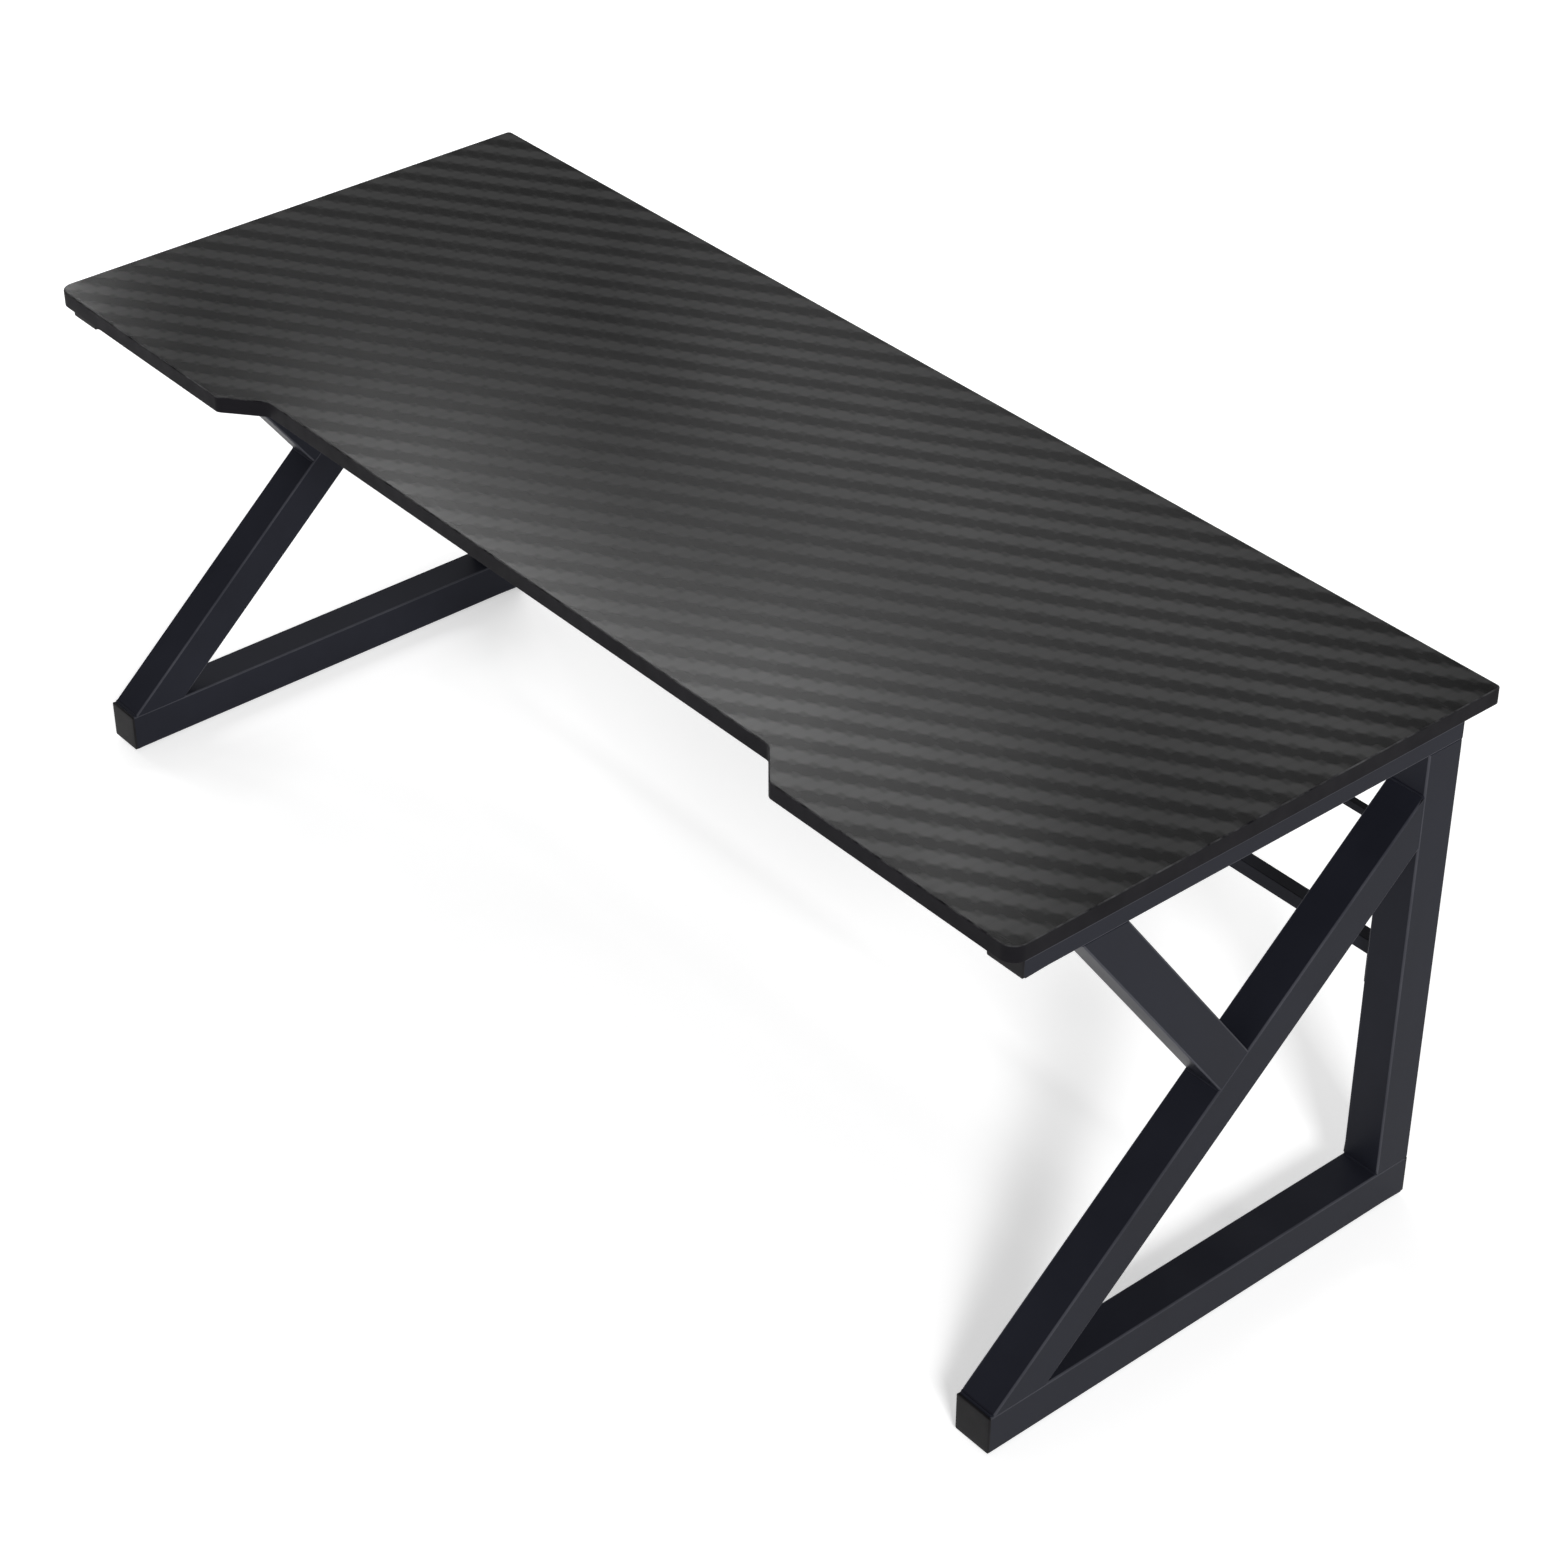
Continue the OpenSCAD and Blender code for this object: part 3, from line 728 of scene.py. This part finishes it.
def add_glide(name, body, node, stud):
    """The pad of a foot: a scalloped disc with a dished top, and a hexagon collar round the stud."""
    low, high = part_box(node)
    centre = (low + high) / 2
    radius = (high.x - low.x) / 2
    height = high.z - low.z
    stud_low, stud_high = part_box(stud)
    bore = (stud_high.x - stud_low.x) / 2 + 0.05 * MM
    bore_end = stud_low.z - low.z

    def turned(r, z, reach):
        """A ring of points at a height, where reach(r, angle) gives the radius at each angle."""
        ring = []
        for j, (c, s) in enumerate(circle(GLIDE_SIDES)):
            rr = reach(r, math.tau * j / GLIDE_SIDES)
            ring.append((centre.x + rr * c, centre.y + rr * s, low.z + z))
        return ring

    def scalloped(share):
        return lambda r, a: r - SCALLOP_DEEP * share * (0.5 - 0.5 * math.cos(SCALLOPS * a)) ** 2

    def hexagonal(r, a):
        return r * hexagon_factor(a)

    def plain(r, _):
        return r

    rings = [turned(radius - inside * MM, z * MM, scalloped(share)) for inside, z, share in GLIDE_RIM]
    rings += [turned(COLLAR + outside * MM, z * MM, plain) for outside, z in GLIDE_DISH]
    for r, z in ((COLLAR, 3.35 * MM), (COLLAR, height - 0.25 * MM), (COLLAR - 0.3 * MM, height)):
        rings.append(turned(r, z, hexagonal))
    for r, z in ((bore, height), (bore, bore_end), (0.2 * MM, bore_end)):
        rings.append(turned(r, z, plain))
    parts = Parts()
    parts.rings(rings)
    make_piece(name, body, "black_plastic", parts.verts, parts.faces, 35, [node])


for side_name in SIDES:
    for end_name in ENDS:
        foot = f"{side_name}_{end_name}_foot"
        add_stud(f"{foot}_threaded_stud", foot, f"{foot}_stud")
        add_glide(f"{foot}_glide", foot, f"{foot}_pad", f"{foot}_stud")


# plugs: each has a cap with rounded corners and a very slightly domed face, and a skirt in the tube

PLUG_CORNER = 2.4 * MM
PLUG_CORNER_STEPS = 4
PLUG_ROUND = 1.1 * MM
PLUG_DOME = 0.15 * MM
BASE_CAP_THICK = 3 * MM
RAIL_CAP_THICK = 2 * MM
SKIRT_IN = 1.75 * MM
SKIRT_LONG = 13 * MM


def rounded_square(w, h, r):
    """The outline of a rectangle with rounded corners, centred on the origin."""
    points = []
    for cx, cy, first in ((1, 1, 0), (-1, 1, 90), (-1, -1, 180), (1, -1, 270)):
        for s in range(PLUG_CORNER_STEPS + 1):
            a = math.radians(first + 90 * s / PLUG_CORNER_STEPS)
            points.append((cx * (w / 2 - r) + r * math.cos(a), cy * (h / 2 - r) + r * math.sin(a)))
    return points


def plug_profile(width, thick):
    """Pairs of the inset from the cap's outline and the depth behind its face, from the skirt's end."""
    end = thick + SKIRT_LONG
    profile = [
        (SKIRT_IN + 2.2 * MM, end),
        (SKIRT_IN + 0.5 * MM, end),
        (SKIRT_IN, end - 1.5 * MM),
        (SKIRT_IN, thick),
        (0, thick),
        (0, PLUG_ROUND),
        (0.25 * MM, PLUG_ROUND - 0.4 * MM),
        (0.9 * MM, PLUG_ROUND - 0.75 * MM),
        (2.2 * MM, PLUG_DOME),
    ]
    for share in (0.3, 0.55, 0.8, 0.97):
        profile.append((max(share * width / 2, 3 * MM), PLUG_DOME * (1 - share) ** 2))
    return profile


def add_plug(node):
    """The plug of one end of a base tube or a rail."""
    low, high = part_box(node)
    w, h = high.x - low.x, high.z - low.z
    face, inward = (low.y, 1) if "front" in node else (high.y, -1)
    thick = BASE_CAP_THICK if "base" in node else RAIL_CAP_THICK
    cx, cz = (low.x + high.x) / 2, (low.z + high.z) / 2
    rings = []
    for inset, depth in plug_profile(min(w, h), thick):
        r = max(PLUG_CORNER - inset, 0.15 * MM)
        ring = rounded_square(w - 2 * inset, h - 2 * inset, min(r, (min(w, h) / 2 - inset) * 0.9))
        rings.append([(cx + x, face + inward * depth, cz + z) for x, z in ring])
    parts = Parts()
    parts.rings(rings)
    make_piece(f"{node}_cap", "desk", "black_plastic", parts.verts, parts.faces, 38, [node])


for side_name in SIDES:
    for end_name in ENDS:
        add_plug(f"{side_name}_base_{end_name}_plug")
        add_plug(f"{side_name}_rail_{end_name}_plug")


# button-head bolts with hexagon sockets

BOLT_SIDES = 36
BOLT_HEAD = 3.5 * MM
# in millimetres: the radius, and the place along the bolt, whose seat is at 0 and its tip at 20
BOLT_SHANK = ((1.6, 20.0), (2.6, 19.0), (2.95, 18.4), (2.95, 0.0))
BOLT_SEAT = ((5.2, 0.0), (5.5, -0.3), (5.5, -0.8))
BOLT_SOCKET = ((2.45, -3.5), (2.3, -3.3), (2.3, -1.4), (0.4, -0.9))
DOME_STEPS = 6
DOME_TOP_R = 2.9
DOME_WIDE = 2.6
DOME_FOOT = -0.8
DOME_HIGH = 2.7


def bolt_rings():
    """Rings of a bolt as (radius, place along its axis, hexagon or not), from tip to socket."""
    rings = [(r, t, False) for r, t in BOLT_SHANK + BOLT_SEAT]
    for i in range(1, DOME_STEPS + 1):
        a = math.pi / 2 * i / DOME_STEPS
        r, t = DOME_TOP_R + DOME_WIDE * math.cos(a), DOME_FOOT - DOME_HIGH * math.sin(a)
        rings.append((r, t, False))
    rings += [(r, t, True) for r, t in BOLT_SOCKET]
    return [(r * MM, t * MM, hexagon) for r, t, hexagon in rings]


def solids(node):
    """The separate solids of a CAD node, each as a list of its points."""
    mesh = NODES[node].data
    keys = [tuple(round(c, 6) for c in v.co) for v in mesh.vertices]
    group = {key: key for key in keys}

    def root(key):
        while group[key] != key:
            key = group[key]
        return key

    for polygon in mesh.polygons:
        first = root(keys[polygon.vertices[0]])
        for i in polygon.vertices[1:]:
            group[root(keys[i])] = first
    found = {}
    for key in sorted(group):
        found.setdefault(root(key), []).append(Vector(key))
    return list(found.values())


def add_bolts(node, name):
    """One detailed bolt in the place of each bolt of the CAD node."""
    parts = Parts()
    for points in solids(node):
        low = [min(p[i] for p in points) for i in range(3)]
        high = [max(p[i] for p in points) for i in range(3)]
        cy, cz = (low[1] + high[1]) / 2, (low[2] + high[2]) / 2
        outward = 1 if low[0] > 0 else -1
        seat = low[0] + BOLT_HEAD if outward > 0 else high[0] - BOLT_HEAD
        rings = []
        for r, t, hexagon in bolt_rings():
            ring = []
            for j, (c, s) in enumerate(circle(BOLT_SIDES)):
                k = hexagon_factor(math.tau * j / BOLT_SIDES) if hexagon else 1
                ring.append((seat + outward * t, cy + r * k * c, cz + r * k * s))
            rings.append(ring)
        parts.rings(rings)
    make_piece(name, "desk", "black_zinc", parts.verts, parts.faces, 35, [node])


add_bolts("stretcher_bolts", "stretcher_button_bolts")
add_bolts("beam_bolts", "beam_button_bolts")


# ---------------------------------------------------------------- floor and lights

FLOOR_REACH = 40
FLOOR_GLOW = 0.46
SKY_LEVEL = 0.26


def add_floor():
    """A plain pale floor that glows a little, as under studio light from all around."""
    r = FLOOR_REACH
    mesh = bpy.data.meshes.new("floor")
    mesh.from_pydata([(-r, -r, 0), (r, -r, 0), (r, r, 0), (-r, r, 0)], [], [(0, 1, 2, 3)])
    g = Graph("floor")
    colour = g.mix(g.fit(g.noise(0.7, 3), 0.3, 0.7, 0, 1), (0.93, 0.93, 0.93), (0.95, 0.95, 0.95))
    g.set(Base_Color=colour, Roughness=0.9, Specular_IOR_Level=0.1)
    g.set(Emission_Color=(1, 1, 1, 1), Emission_Strength=FLOOR_GLOW)
    mesh.materials.append(g.material)
    floor = bpy.data.objects.new("floor", mesh)
    bpy.context.scene.collection.objects.link(floor)


def add_softbox(name, place, size, power, target=None, mirrored=True):
    """A rectangular light that faces the target, or straight down. Gloss mirrors it if asked."""
    data = bpy.data.lights.new(name, "AREA")
    data.shape = "RECTANGLE"
    data.size, data.size_y = size
    data.energy = power
    light = bpy.data.objects.new(name, data)
    light.location = place
    light.visible_camera = False
    light.visible_glossy = mirrored
    if target:
        light.rotation_euler = (Vector(target) - Vector(place)).to_track_quat("-Z", "Y").to_euler()
    bpy.context.scene.collection.objects.link(light)


def add_surroundings():
    """An even, dim white sky."""
    world = bpy.data.worlds.new("studio")
    world.use_nodes = True
    background = world.node_tree.nodes["Background"]
    background.inputs["Color"].default_value = (1, 1, 1, 1)
    background.inputs["Strength"].default_value = SKY_LEVEL
    bpy.context.scene.world = world


add_floor()
add_surroundings()
# four strips that the top mirrors towards the camera
add_softbox("sheen", (-2.65, 1.5, 3), (1.6, 0.3), 24)
add_softbox("glint", (-1.8, 1.85, 3), (1.0, 0.3), 8.5)
add_softbox("corner", (-5.0, 1.5, 3), (0.6, 0.3), 15)
add_softbox("rear", (-2.25, 2.75, 3), (2.4, 0.4), 8)
# two that only brighten the faces towards them
add_softbox("front", (11.4, -6.0, 8.0), (3, 3), 1450, (0.2, -0.1, 0.4), mirrored=False)
add_softbox("left", (-5.5, 0, 1.5), (3, 2), 80, (-0.9, 0, 0.4), mirrored=False)
bpy.context.scene.view_settings.view_transform = "Standard"
